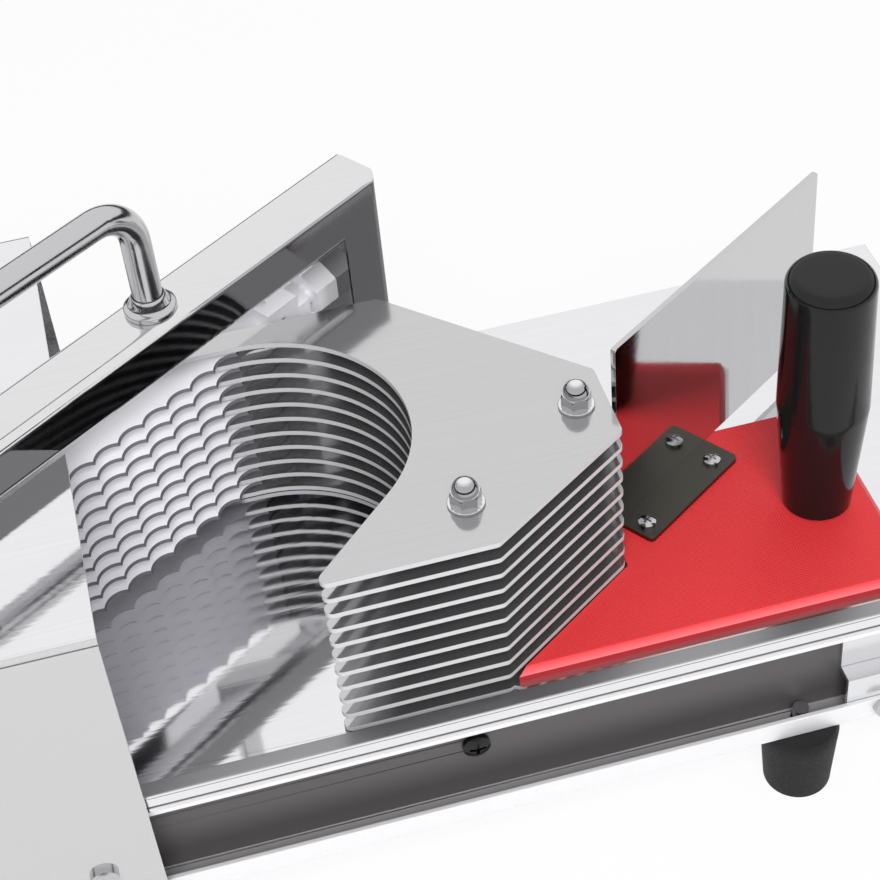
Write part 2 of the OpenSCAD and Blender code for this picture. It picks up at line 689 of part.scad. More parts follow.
// Lift handle: a round rod bent to a U, on two collars
module lift_handle() {
    low = tube_z + tube_h - tube_wall;
    bar = tube_z + tube_h + rod_rise;
    mid = tube_back - tube_w / 2;
    color("silver") blade_axes() translate([0, mid, 0]) {
        for (s = rod_at) translate([s, 0, low]) cylinder(d = rod_d, h = bar - rod_bend - low);
        translate([rod_at[0] + rod_bend, 0, bar]) rotate([0, 90, 0])
            cylinder(d = rod_d, h = rod_at[1] - rod_at[0] - 2 * rod_bend);
        for (i = [0, 1]) translate([rod_at[i] + (i == 0 ? 1 : -1) * rod_bend, 0, bar - rod_bend])
            rotate([90, 0, 0]) rotate([0, 0, i == 0 ? 90 : 0]) rotate_extrude(angle = 90)
                translate([rod_bend, 0]) circle(d = rod_d);
    }
}

module handle_collars() {
    color("silver") blade_axes() for (s = rod_at) translate([s, tube_back - tube_w / 2, tube_z + tube_h])
        rotate_extrude() polygon([[rod_d / 2 + thread_fit, 0], [collar_d / 2, 0],
            [collar_d / 2, collar_h * 0.3], [collar_d * 0.4, collar_h * 0.42], [collar_d * 0.34, collar_h * 0.85],
            [collar_d * 0.31, collar_h], [rod_d / 2 + thread_fit, collar_h]]);
}

// Pusher plates
module plate_outline() {
    difference() {
        polygon(rounded([with_r(tip_a, plate_corner_r), with_r(corner_b, plate_corner_r),
            with_r(corner_c, plate_corner_r), with_r(corner_d, plate_corner_r), with_r(corner_e, plate_corner_r),
            [arm_tip_x, plate_far_y, plate_corner_r], [arm_tip_x, arm_inner_y, plate_corner_r],
            [mouth_top[0], mouth_top[1], 0], [mouth_x, mouth_y, 0], [mouth_tangent[0], mouth_tangent[1], 0]]));
        translate(mouth_xy) circle(r = mouth_r, $fn = 96);
    }
}

module pusher_plate(k) {
    color("gainsboro") translate([0, 0, slide_z + plate_z(k)]) difference() {
        linear_extrude(plate_t) plate_outline();
        for (p = stack_bolts_xy) translate([p[0], p[1], -cut])
            cylinder(d = stack_bolt_d + hole_play, h = plate_t + 2 * cut);
    }
}

// The lowest plate runs on under the cutting board and slides in the guides
module carriage_plate() {
    right = board_right_x + carriage_margin;
    far = board_far_y + carriage_margin;
    slant_start = corner_b + (carriage_front_y - plate_front_y) / sin(blade_angle) * slant
        + 2 * board_gap * [1 / sin(blade_angle), 0];
    color("gainsboro") translate([0, 0, slide_z + plate_z(0)]) difference() {
        linear_extrude(plate_t) union() {
            plate_outline();
            polygon(rounded([[corner_b[0] - 6, plate_front_y + 4, 0], [corner_b[0] + 2, plate_front_y, 0],
                [corner_b[0] + 8, carriage_front_y, 0], [right, carriage_front_y, plate_corner_r],
                [right, far, plate_corner_r], [corner_c[0] - 8, far, 0]]));
        }
        for (p = stack_bolts_xy) translate([p[0], p[1], -cut]) {
            cylinder(d = stack_bolt_d + hole_play, h = plate_t + 2 * cut);
            translate([0, 0, cut]) cylinder(d1 = stack_head_d + hole_play, d2 = stack_bolt_d + hole_play, h = plate_t);
        }
        translate([grip_xy[0], grip_xy[1], -cut]) cylinder(d = grip_head_d + hole_play, h = plate_t + 2 * cut);
        guard_axes() for (s = guard_screw_at) translate([s, guard_screw_y, -cut])
            cylinder(d = guard_screw_d + thread_fit, h = plate_t + 2 * cut);
    }
}

module plate_spacers() {
    color("silver") for (k = [0 : plate_count - 2], p = stack_bolts_xy)
        translate([p[0], p[1], slide_z + plate_z(k) + plate_t]) difference() {
            cylinder(d = spacer_d, h = spacer_h);
            translate([0, 0, -cut]) cylinder(d = stack_bolt_d + hole_play, h = spacer_h + 2 * cut);
        }
}

module stack_bolts() {
    color("silver") for (p = stack_bolts_xy) translate([p[0], p[1], slide_z + plate_z(0)]) {
        cylinder(d1 = stack_head_d, d2 = stack_bolt_d, h = plate_t);
        cylinder(d = stack_bolt_d, h = stack_top - plate_z(0) + cap_washer_t + cap_nut_h * 0.55);
    }
}

module cap_washers() {
    color("silver") for (p = stack_bolts_xy) translate([p[0], p[1], slide_z + stack_top]) difference() {
        cylinder(d = cap_nut_af * 1.35, h = cap_washer_t);
        translate([0, 0, -cut]) cylinder(d = stack_bolt_d + hole_play, h = cap_washer_t + 2 * cut);
    }
}

module cap_nuts() {
    hex_h = cap_nut_h * 0.5;
    dome_r = cap_nut_h - hex_h - 0.3;
    level = slide_z + stack_top + cap_washer_t;
    color("white") for (p = stack_bolts_xy) translate([p[0], p[1], level]) difference() {
        union() {
            intersection() {
                hexagon(cap_nut_af, hex_h);
                translate([0, 0, hex_h * 0.3]) sphere(d = cap_nut_af * 1.27);
            }
            cylinder(r = dome_r, h = hex_h + 0.3);
            translate([0, 0, hex_h + 0.3]) sphere(r = dome_r);
        }
        translate([0, 0, -cut]) cylinder(d = stack_bolt_d + thread_fit, h = cap_nut_h * 0.6 + cut);
    }
}

// Cutting board
module cutting_board() {
    top = slide_z + board_top;
    left_c = corner_c + [board_gap, 0];
    reach_n = stroke * sin(blade_angle) + board_clear;
    cut_y = ((left_c[0] - blade_cross_x) * sin(blade_angle) - reach_n) / cos(blade_angle);
    cut_x = blade_cross_x + (reach_n + board_far_y * cos(blade_angle)) / sin(blade_angle);
    // The blades reach the far left corner only where it stands beyond their cutting plane
    far_left = cut_y < board_far_y ? [[cut_x, board_far_y, 0], [left_c[0], cut_y, 0]]
        : [[left_c[0], board_far_y, 0]];
    reach = base_l;
    bevel_half = board_bevel / sqrt(2);
    color([0.82, 0.16, 0.16]) difference() {
        translate([0, 0, slide_z + board_z]) linear_extrude(board_t) polygon(rounded([
            with_r(board_left_front, 0), [board_right_x, board_front_y, board_corner_r],
            [board_right_x, board_far_y, board_corner_r], each far_left, [left_c[0], left_c[1], 0]]));
        for (e = [[[0, board_front_y, top], 0], [[board_right_x, 0, top], 90], [[0, board_far_y, top], 180]])
            translate(e[0]) rotate([0, 0, e[1]]) rotate([45, 0, 0])
                box([-reach, -bevel_half, -bevel_half], [reach, bevel_half, bevel_half]);
        guard_axes() for (s = guard_screw_at) translate([s, guard_screw_y, 0])
            cylinder(d = guard_screw_d + hole_play, h = top + cut);
        translate([grip_xy[0], grip_xy[1], 0]) cylinder(d = grip_stud_d + hole_play, h = top + cut);
    }
}

// Guard: a folded sheet, set along the blades
module guard_axes() {
    translate([guard_xy[0], guard_xy[1], 0]) rotate([0, 0, blade_angle]) children();
}

module guard() {
    low = slide_z + board_top + sheet_t;
    corner = 1;
    color("gainsboro") guard_axes() translate([0, sheet_t, low]) rotate([90, 0, 0]) linear_extrude(sheet_t)
        polygon(rounded([[0, 0, 0], [guard_l, 0, 0], [guard_l, guard_h, corner], [0, guard_h, corner]]));
}

// An angle bracket: its foot lies on the board, its back stands behind the guard
module guard_bracket() {
    low = slide_z + board_top;
    back_h = guard_h / 5;
    color([0.3, 0.3, 0.29]) guard_axes() difference() {
        union() {
            translate([0, 0, low]) linear_extrude(sheet_t) polygon(rounded([[0, -guard_foot_w, 1.5],
                [guard_foot_l, -guard_foot_w, 1.5], [guard_foot_l, 2 * sheet_t, 0], [0, 2 * sheet_t, 0]]));
            box([0, sheet_t, low], [guard_foot_l, 2 * sheet_t, low + back_h]);
        }
        for (s = guard_screw_at) translate([s, guard_screw_y, low - cut])
            cylinder(d = guard_screw_d + hole_play, h = sheet_t + 2 * cut);
    }
}

module guard_screws() {
    color("silver") guard_axes() for (s = guard_screw_at)
        translate([s, guard_screw_y, slide_z + board_top + sheet_t])
            pan_screw(guard_screw_d, sheet_t + board_t + plate_t);
}

// Grip
module grip() {
    edge = 3;
    color([0.06, 0.06, 0.06]) translate([grip_xy[0], grip_xy[1], slide_z + board_top]) difference() {
        rotate_extrude($fn = 96) polygon(concat([[0, 0]], rounded([[grip_foot_d / 2 - 0.8, 0, 0],
            [grip_foot_d / 2, 0.8, 0], [grip_d / 2, grip_h * 0.46, 18], [grip_top_d / 2, grip_h, edge],
            [0, grip_h + 0.01, 0]])));
        translate([0, 0, -cut]) cylinder(d = grip_stud_d + thread_fit, h = grip_h * 0.4 + cut);
    }
}

module grip_stud() {
    color("silver") translate([grip_xy[0], grip_xy[1], slide_z + plate_z(0)]) {
        cylinder(d = grip_head_d, h = plate_t);
        cylinder(d = grip_stud_d, h = plate_t + board_t + grip_h * 0.38);
    }
}

base_plate();
front_channel();
rear_channel();
left_cross_member();
right_cross_member();
left_brace();
right_brace();
brace_screws();
corner_brackets();
bracket_bolts();
rubber_feet();
foot_screws();
front_rail();
rear_guide();
housing();
housing_standoffs();
housing_screws();
blade_frame();
frame_end_cap();
near_holder();
far_holder();
near_pin();
far_pin();
frame_screws();
blade(0);  // blade_01
blade(1);  // blade_02
blade(2);  // blade_03
blade(3);  // blade_04
blade(4);  // blade_05
blade(5);  // blade_06
blade(6);  // blade_07
blade(7);  // blade_08
blade(8);  // blade_09
blade(9);  // blade_10
tension_bolts();
tension_nuts();
lift_handle();
handle_collars();
carriage_plate();
pusher_plate(1);  // pusher_plate_02
pusher_plate(2);  // pusher_plate_03
pusher_plate(3);  // pusher_plate_04
pusher_plate(4);  // pusher_plate_05
pusher_plate(5);  // pusher_plate_06
pusher_plate(6);  // pusher_plate_07
pusher_plate(7);  // pusher_plate_08
pusher_plate(8);  // pusher_plate_09
pusher_plate(9);  // pusher_plate_10
pusher_plate(10);  // pusher_plate_11
plate_spacers();
stack_bolts();
cap_washers();
cap_nuts();
cutting_board();
guard();
guard_bracket();
guard_screws();
grip();
grip_stud();
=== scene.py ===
"""Tomato slicer: dresses the solid model with real finishes, and sets the stage, the lamps and the camera."""

import math

import bmesh
import bpy
from mathutils import Matrix, Vector

bl_info = {
    "name": "Tomato Slicer",
    "version": (1, 0, 0),
    "blender": (4, 5, 0),
    "location": "View3D > Sidebar > Slicer",
    "description": "Finishes the tomato slicer and sets its stage",
    "category": "Object",
}

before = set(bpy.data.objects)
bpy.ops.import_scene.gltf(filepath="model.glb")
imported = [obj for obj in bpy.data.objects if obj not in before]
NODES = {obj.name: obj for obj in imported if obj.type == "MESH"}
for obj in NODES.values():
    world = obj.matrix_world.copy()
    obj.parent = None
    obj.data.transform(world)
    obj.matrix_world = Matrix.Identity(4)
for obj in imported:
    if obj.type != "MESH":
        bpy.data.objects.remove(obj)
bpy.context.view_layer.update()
MM = 0.001

# Edge rounding: corners within the gap are joined, then edges sharper than the angle are rounded.
JOIN_GAP = 0.001 * MM
SHARP_ANGLE = math.radians(32)
ROUND_STEPS = 2
# Weight of large faces in the normals, so that a flat sheet reflects as a flat one.
FLAT_WEIGHT = 100
# Rounding of the rail and the spacers, whose edges are narrow.
FINE_ROUND = 0.1 * MM

# The blades, the tube and the guard all run at this angle to the slide.
BLADE_ANGLE = math.radians(35.0)
# Brushing lines, drawn coarser than the real 0.1 mm so that a picture holds them.
BRUSH_LENGTH = 70 * MM
BRUSH_WIDTH = 1.1 * MM
BRUSH_DEPTH = 0.2 * MM
BRUSH_RELIEF = 0.03
# Share of the colour that the darkest brushing line keeps.
BRUSH_DARKEST = 0.93
# Uneven polish changes over about this distance.
CLOUD_SIZE = 45 * MM
# Handling marks on plated pieces: their size, and the shares of the roughness between which they change it.
SMEAR_SIZE = 4 * MM
SMEAR_RANGE = (0.6, 1.5)
# The channels' mill finish, and where their lips, painted bright as a highlight, begin, out from the middle.
MILL_ROUGHNESS = 0.45
MILL_METALLIC = 0.4
CHANNEL_LIP_Y = 74.9 * MM
LIP_FADE = 0.3 * MM

# Height of the board's bevel.
BOARD_BEVEL = 1.8 * MM
# The board's emboss: its angle to the edges, its depth, and the painted shade of its valleys and painted
# light on its ridges.
EMBOSS_ANGLE = math.radians(45)
EMBOSS_DEPTH = 0.4 * MM
EMBOSS_RELIEF = 0.4
EMBOSS_PAINTED_SHADE = (0.86, 1.04)
# Slow changes in the board's red: their size and their shade.
BOARD_CLOUD_SIZE = 25 * MM
BOARD_CLOUD_SHADE = (0.92, 1.05)
# How far up a normal points where the bevel begins and is full, and where the face does.
BEVEL_TILT = (0.2, 0.5)
FACE_TILT = (0.85, 0.98)
BOARD_ROUGHNESS = 0.42
POLYETHYLENE_IOR = 1.51

# Orange peel on moulded pieces: its depth, and the shares of the roughness between which it changes it.
PEEL_DEPTH = 0.3 * MM
PEEL_RELIEF = 0.06
PEEL_RANGE = (0.8, 1.3)
PLASTIC_IOR = 1.5
PLASTIC_SPECULAR = 0.28

# Sockets of a Mix node that mixes colours.
MIX_SHARE, MIX_FIRST, MIX_SECOND, MIX_RESULT = 0, 6, 7, 2

# Softboxes: name, place and power. Both have one size and point at one spot.
SOFTBOXES = (("softbox_front", (-0.1, -1.05, 1.2), 25.0), ("softbox_back", (0.6, 1.1, 1.2), 4.0))
SOFTBOX_SIDE = 0.8
SOFTBOX_AIM = (0, 0, 0.1)
# Strength of the world's light on surfaces. The camera and reflections see it as plain white.
WORLD_LIGHT = 0.3
WHITE = (1, 1, 1, 1)
# Half the floor's side, and the share of plain white that the camera and reflections see in it.
FLOOR_HALF = 6.0
FLOOR_GLOW = 0.9
# Roughness of paper and cloth.
MATT_ROUGHNESS = 0.9
# The dark cloth round the horizon.
FLAG_RADIUS = 2.5
FLAG_BOTTOM = 0.05
FLAG_TOP = 0.7
FLAG_SIDES = 64
FLAG_COLOUR = "#202020"
# The camera's sensor, in millimetres, and the nearest distance that it sees.
SENSOR_WIDTH = 36.0
NEAREST_SEEN = 0.01


def hex_colour(code):
    """An sRGB hex colour as linear RGB."""
    parts = [int(code[i:i + 2], 16) / 255 for i in (1, 3, 5)]
    return [c / 12.92 if c <= 0.04045 else ((c + 0.055) / 1.055) ** 2.4 for c in parts]


class SteelSettings(bpy.types.PropertyGroup):
    """Colours and polish of the stainless pieces."""

    mirror: bpy.props.FloatVectorProperty(
        name="Mirror", description="Colour of mirror-polished and bright-plated steel", subtype="COLOR",
        min=0, max=1, default=hex_colour("#eeeef0"))
    sheet: bpy.props.FloatVectorProperty(
        name="Sheet", description="Colour of the plates, the guard and the housing's walls", subtype="COLOR",
        min=0, max=1, default=hex_colour("#cdcdce"))
    # Painted shade: the tube's upright sides get this dark colour in place of their dark reflection; their
    # roughness is the same as the top's.
    tube_side_painted_shade: bpy.props.FloatVectorProperty(
        name="Tube side", description="Colour painted on the tube's sides as shade", subtype="COLOR",
        min=0, max=1, default=hex_colour("#7b7b7d"))
    tube: bpy.props.FloatVectorProperty(
        name="Tube", description="Colour of the polished tube", subtype="COLOR",
        min=0, max=1, default=hex_colour("#e4e4e5"))
    cut: bpy.props.FloatVectorProperty(
        name="Cut", description="Colour of the plates' cut edges", subtype="COLOR",
        min=0, max=1, default=hex_colour("#c4c4c6"))
    satin: bpy.props.FloatVectorProperty(
        name="Satin", description="Colour of cross members, rods, spacers and plain fasteners",
        subtype="COLOR", min=0, max=1, default=hex_colour("#c6c6c8"))
    # Partly painted light: the blades' pale steel colour is pushed to near white, almost without metal sheen,
    # to stand in for light bounced between them.
    blade: bpy.props.FloatVectorProperty(
        name="Blade", description="Colour of the ground blades, their holders and bolts", subtype="COLOR",
        min=0, max=1, default=hex_colour("#fbfafe"))
    # Painted shade: the scallops get this dark colour as the shadow along each ground edge.
    scallop_painted_shade: bpy.props.FloatVectorProperty(
        name="Scallop", description="Colour of the blades' ground scallops", subtype="COLOR",
        min=0, max=1, default=hex_colour("#6e6e75"))
    # Painted shade: the guides' tops and the cap nuts' upright flats get this grey, darker than their
    # polished faces.
    rail: bpy.props.FloatVectorProperty(
        name="Rail", description="Colour painted on the guides' tops and the cap nuts' flats as shade", subtype="COLOR",
        min=0, max=1, default=hex_colour("#aaaaac"))
    # Painted shade: the channels' upright webs get this dark colour for the shade in their recess; the
    # flanges get the lighter colour below.
    channel: bpy.props.FloatVectorProperty(
        name="Channel", description="Colour of the side channels' webs", subtype="COLOR",
        min=0, max=1, default=hex_colour("#625f60"))
    flange: bpy.props.FloatVectorProperty(
        name="Flange", description="Colour of the side channels' flanges", subtype="COLOR",
        min=0, max=1, default=hex_colour("#b0aeaf"))
    bracket: bpy.props.FloatVectorProperty(
        name="Bracket", description="Colour of the guard's dark bracket", subtype="COLOR",
        min=0, max=1, default=hex_colour("#62615a"))
    oxide: bpy.props.FloatVectorProperty(
        name="Oxide", description="Colour of the blackened screws", subtype="COLOR",
        min=0, max=1, default=hex_colour("#3a3a3b"))
    plating: bpy.props.FloatVectorProperty(
        name="Plating", description="Colour of the guard's plated screws", subtype="COLOR",
        min=0, max=1, default=hex_colour("#c4c4c6"))
    mirror_roughness: bpy.props.FloatProperty(
        name="Mirror roughness", description="Roughness of the base plate and the housing's top",
        subtype="FACTOR", min=0, max=1, default=0.05)
    plate_roughness: bpy.props.FloatProperty(
        name="Plate roughness", description="Roughness of the pusher plates", subtype="FACTOR",
        min=0, max=1, default=0.11)
    edge_round: bpy.props.FloatProperty(
        name="Edge round", description="Rounding of deburred edges", subtype="DISTANCE", unit="LENGTH",
        min=0, max=0.001, default=0.25 * MM)


class BoardSettings(bpy.types.PropertyGroup):
    """The embossed cutting board."""

    face: bpy.props.FloatVectorProperty(
        name="Face", description="Colour of the board's face", subtype="COLOR",
        min=0, max=1, default=hex_colour("#e2383c"))
    # Painted highlight: the bevel's lower part gets this pale red.
    edge: bpy.props.FloatVectorProperty(
        name="Edge", description="Colour of the bevel's pale lower edge", subtype="COLOR",
        min=0, max=1, default=hex_colour("#ea7378"))
    # Painted shade: the board's upright sides get this dark red.
    side: bpy.props.FloatVectorProperty(
        name="Side", description="Colour of the board's upright sides", subtype="COLOR",
        min=0, max=1, default=hex_colour("#b8262b"))
    emboss_pitch: bpy.props.FloatProperty(
        name="Emboss pitch", description="Distance between two rows of the emboss", subtype="DISTANCE",
        unit="LENGTH", min=0.0005, max=0.01, default=1.1 * MM)


class GripSettings(bpy.types.PropertyGroup):
    """The grip and the rubber feet."""

    plastic: bpy.props.FloatVectorProperty(
        name="Plastic", description="Colour of the moulded grip", subtype="COLOR",
        min=0, max=1, default=hex_colour("#151516"))
    rubber: bpy.props.FloatVectorProperty(
        name="Rubber", description="Colour of the feet", subtype="COLOR",
        min=0, max=1, default=hex_colour("#1d1d1e"))


class StageSettings(bpy.types.PropertyGroup):
    """Floor and camera."""

    floor: bpy.props.FloatVectorProperty(
        name="Floor", description="Colour of the floor", subtype="COLOR",
        min=0, max=1, default=hex_colour("#f4f4f4"))
    lens: bpy.props.FloatProperty(
        name="Lens", description="Focal length on a 36 mm sensor, in millimetres",
        min=20, max=200, default=82.24)
    elevation: bpy.props.FloatProperty(
        name="Elevation", description="How far the camera looks down", subtype="ANGLE", unit="ROTATION",
        min=0, max=1.5, default=math.radians(43.167))
    azimuth: bpy.props.FloatProperty(
        name="Azimuth", description="Turn of the camera from the slide's cross direction", subtype="ANGLE",
        unit="ROTATION", min=-3.2, max=3.2, default=math.radians(-9.978))
    roll: bpy.props.FloatProperty(
        name="Roll", description="Tilt of the camera about its line of sight", subtype="ANGLE",
        unit="ROTATION", min=-1, max=1, default=math.radians(-6.154))
    place: bpy.props.FloatVectorProperty(
        name="Place", description="Where the camera stands", subtype="TRANSLATION", unit="LENGTH",
        default=(-0.041555, -0.399115, 0.472226))


def add(tree, kind, settings=None, **links):
    """Adds a node, sets its properties and inputs, and links sockets to inputs given by name or as i0, i1."""
    made = tree.nodes.new(kind)
    for name, value in (settings or {}).items():
        if hasattr(made, name) and name not in made.inputs:
            setattr(made, name, value)
        else:
            made.inputs[name].default_value = value
    for name, source in links.items():
        socket = made.inputs[int(name[1:])] if name[1:].isdigit() and name[0] == "i" else made.inputs[name]
        tree.links.new(source, socket)
    return made


def fill(tree, socket, value):
    """Links a socket into another, or sets a plain value on it."""
    if isinstance(value, bpy.types.NodeSocket):
        tree.links.new(value, socket)
    else:
        socket.default_value = value


def work_out(tree, operation, *values, clamp=False):
    """The result of a sum on sockets and plain numbers."""
    made = add(tree, "ShaderNodeMath", {"operation": operation, "use_clamp": clamp})
    for socket, value in zip(made.inputs, values):
        fill(tree, socket, value)
    return made.outputs["Value"]


def step(tree, value, start, full):
    """How far a value has come from start to full, as 0 to 1."""
    made = add(tree, "ShaderNodeMapRange", {"From Min": start, "From Max": full}, Value=value)
    return made.outputs["Result"]


def spread(tree, value, low, high):
    """A value of 0 to 1 spread from low to high."""
    made = add(tree, "ShaderNodeMapRange", Value=value)
    fill(tree, made.inputs["To Min"], low)
    fill(tree, made.inputs["To Max"], high)
    return made.outputs["Result"]


def mix_colours(tree, share, first, second, blend="MIX"):
    """Two colours mixed by a share. A colour is a socket or plain RGB."""
    made = add(tree, "ShaderNodeMix", {"data_type": "RGBA", "blend_type": blend})
    fill(tree, made.inputs[MIX_SHARE], share)
    for number, colour in ((MIX_FIRST, first), (MIX_SECOND, second)):
        plain = not isinstance(colour, bpy.types.NodeSocket)
        fill(tree, made.inputs[number], (*colour, 1.0) if plain else colour)
    return made.outputs[MIX_RESULT]


def noise(tree, place, size, detail):
    """Soft noise whose patches have about the given size."""
    made = add(tree, "ShaderNodeTexNoise", {"Scale": 1 / size, "Detail": detail}, Vector=place)
    return made.outputs["Fac"]


def new_material(name):
    """An empty material with its shader and output joined."""
    made = bpy.data.materials.new(name)
    made.use_nodes = True
    tree = made.node_tree
    tree.nodes.clear()
    shader = tree.nodes.new("ShaderNodeBsdfPrincipled")
    out = tree.nodes.new("ShaderNodeOutputMaterial")
    tree.links.new(shader.outputs["BSDF"], out.inputs["Surface"])
    return made, tree, shader


def object_place(tree):
    """Coordinates that stay with the object."""
    return add(tree, "ShaderNodeTexCoord").outputs["Object"]


def upward(tree):
    """How far up a face points, from -1 to 1."""
    geometry = add(tree, "ShaderNodeNewGeometry")
    return add(tree, "ShaderNodeSeparateXYZ", Vector=geometry.outputs["True Normal"]).outputs["Z"]


def finish_with(node_names, material):
    """Gives CAD nodes one material."""
    for name in node_names:
        mesh = NODES[name].data
        mesh.materials.clear()
        mesh.materials.append(material)


def deburr(node_names, width):
    """Joins the triangles of CAD nodes and rounds their sharp edges a little, by modifiers alone."""
    for name in node_names:
        piece = NODES[name]
        piece.data.polygons.foreach_set("use_smooth", [True] * len(piece.data.polygons))
        weld = piece.modifiers.new("Join", "WELD")
        weld.merge_threshold = JOIN_GAP
        edge = piece.modifiers.new("Deburr", "BEVEL")
        edge.width = width
        edge.segments = ROUND_STEPS
        edge.limit_method = "ANGLE"
        edge.angle_limit = SHARP_ANGLE
        even = piece.modifiers.new("Keep flats flat", "WEIGHTED_NORMAL")
        even.mode = "FACE_AREA"
        even.weight = FLAT_WEIGHT


def brushed_steel(name, colour, roughness, angle=0.0, streak=0.02, uneven=0.05, metallic=1.0, cut=None,
                  cut_roughness=0.5, cut_metallic=1.0, lying=(0.8, 0.95)):
    """Stainless steel: a metal whose fine lines from rolling or brushing run one way, as faint streaks.

    With a cut colour, upright faces have a colour of their own: a sheared edge that is duller than the face,
    or painted shade or a painted highlight, as on the tube, the scallops, the rails, the cap nuts and the
    channels. The lying pair says how far up a face points where the main finish begins and where it is full.
    """
    made, tree, shader = new_material(name)
    place = object_place(tree)
    turned = add(tree, "ShaderNodeMapping",
                 {"Rotation": (0, 0, -angle), "Scale": (1 / BRUSH_LENGTH, 1 / BRUSH_WIDTH, 1 / BRUSH_WIDTH)},
                 Vector=place)
    lines = add(tree, "ShaderNodeTexNoise", {"Scale": 1.0, "Detail": 3.0, "Roughness": 0.6},
                Vector=turned.outputs["Vector"]).outputs["Fac"]
    cloud = noise(tree, place, CLOUD_SIZE, detail=2.0)
    rough = work_out(tree, "ADD", spread(tree, lines, roughness - streak, roughness + streak),
                     spread(tree, cloud, -uneven, uneven), clamp=True)
    base = mix_colours(tree, 1.0, colour, spread(tree, lines, BRUSH_DARKEST, 1.0), blend="MULTIPLY")
    bump = add(tree, "ShaderNodeBump", {"Strength": BRUSH_RELIEF, "Distance": BRUSH_DEPTH}, Height=lines)
    shader.inputs["Metallic"].default_value = metallic
    if cut is not None:
        main = step(tree, work_out(tree, "ABSOLUTE", upward(tree)), *lying)
        base = mix_colours(tree, main, cut, base)
        rough = spread(tree, main, cut_roughness, rough)
        tree.links.new(spread(tree, main, cut_metallic, metallic), shader.inputs["Metallic"])
    tree.links.new(base, shader.inputs["Base Color"])
    tree.links.new(rough, shader.inputs["Roughness"])
    tree.links.new(bump.outputs["Normal"], shader.inputs["Normal"])
    return made


def channel_steel(name, web_painted_shade, flange, lip):
    """Folded channel, mill-finished: painted dark inside as shade for its recess, its outer lip and upper
    edge painted bright as a highlight.
    """
    made = brushed_steel(name, flange, MILL_ROUGHNESS, metallic=MILL_METALLIC, cut=web_painted_shade,
                         cut_roughness=MILL_ROUGHNESS, cut_metallic=MILL_METALLIC)
    tree = made.node_tree
    shader = next(n for n in tree.nodes if n.type == "BSDF_PRINCIPLED")
    milled = shader.inputs["Base Color"].links[0].from_socket
    across = add(tree, "ShaderNodeSeparateXYZ", Vector=object_place(tree)).outputs["Y"]
    # Painted highlight: beyond CHANNEL_LIP_Y the mirror colour replaces the milled one, with the roughness
    # unchanged.
    outer = step(tree, work_out(tree, "ABSOLUTE", across), CHANNEL_LIP_Y - LIP_FADE, CHANNEL_LIP_Y)
    tree.links.new(mix_colours(tree, outer, milled, lip), shader.inputs["Base Color"])
    return made


def plated_steel(name, colour, roughness):
    """Plated, turned or blackened steel: a clean metal with a trace of handling in its roughness."""
    made, tree, shader = new_material(name)
    smear = noise(tree, object_place(tree), SMEAR_SIZE, detail=3.0)
    rough = spread(tree, smear, *(roughness * share for share in SMEAR_RANGE))
    tree.links.new(rough, shader.inputs["Roughness"])
    shader.inputs["Base Color"].default_value = (*colour, 1.0)
    shader.inputs["Metallic"].default_value = 1.0
    return made


def embossed_polyethylene(name, face, edge, side, pitch, top_z):
    """Cutting-board polyethylene: a waxy red face with a fine emboss whose valleys carry painted shade, a
    bevel painted paler downwards as a highlight, and sides painted dark red as shade.
    """
    made, tree, shader = new_material(name)
    place = object_place(tree)
    turned = add(tree, "ShaderNodeMapping", {"Rotation": (0, 0, EMBOSS_ANGLE)}, Vector=place)
    along = add(tree, "ShaderNodeSeparateXYZ", Vector=turned.outputs["Vector"])
    waves = [work_out(tree, "SINE", work_out(tree, "MULTIPLY", along.outputs[axis], 2 * math.pi / pitch))
             for axis in ("X", "Y")]
    height = step(tree, work_out(tree, "MULTIPLY", *waves), -1.0, 1.0)
    facing = upward(tree)
    top = step(tree, facing, *FACE_TILT)
    cloud = noise(tree, place, BOARD_CLOUD_SIZE, detail=4.0)
    # The red's slow tone changes, times painted shade in the emboss's valleys and painted light on its
    # ridges.
    shade = work_out(tree, "MULTIPLY", spread(tree, cloud, *BOARD_CLOUD_SHADE),
                     spread(tree, height, *EMBOSS_PAINTED_SHADE))
    red = mix_colours(tree, 1.0, face, shade, blend="MULTIPLY")
    level = add(tree, "ShaderNodeSeparateXYZ", Vector=place).outputs["Z"]
    # Painted highlight: the bevel pales downwards. Painted shade: upright sides take the dark side colour.
    bevel_painted_highlight = mix_colours(tree, step(tree, level, top_z - BOARD_BEVEL, top_z), edge, face)
    rim_painted_shade = mix_colours(tree, step(tree, facing, *BEVEL_TILT), side, bevel_painted_highlight)
    bump = add(tree, "ShaderNodeBump", {"Strength": EMBOSS_RELIEF, "Distance": EMBOSS_DEPTH},
               Height=work_out(tree, "MULTIPLY", height, top))
    tree.links.new(mix_colours(tree, top, rim_painted_shade, red), shader.inputs["Base Color"])
    tree.links.new(bump.outputs["Normal"], shader.inputs["Normal"])
    shader.inputs["Roughness"].default_value = BOARD_ROUGHNESS
    shader.inputs["IOR"].default_value = POLYETHYLENE_IOR
    return made


def moulded_plastic(name, colour, roughness, grain):
    """Moulded black plastic or rubber: a smooth skin with a trace of orange peel from the mould."""
    made, tree, shader = new_material(name)
    peel = noise(tree, object_place(tree), grain, detail=2.0)
    rough = spread(tree, peel, *(roughness * share for share in PEEL_RANGE))
    bump = add(tree, "ShaderNodeBump", {"Strength": PEEL_RELIEF, "Distance": PEEL_DEPTH}, Height=peel)
    tree.links.new(rough, shader.inputs["Roughness"])
    tree.links.new(bump.outputs["Normal"], shader.inputs["Normal"])
    shader.inputs["Base Color"].default_value = (*colour, 1.0)
    shader.inputs["IOR"].default_value = PLASTIC_IOR
    shader.inputs["Specular IOR Level"].default_value = PLASTIC_SPECULAR
    return made


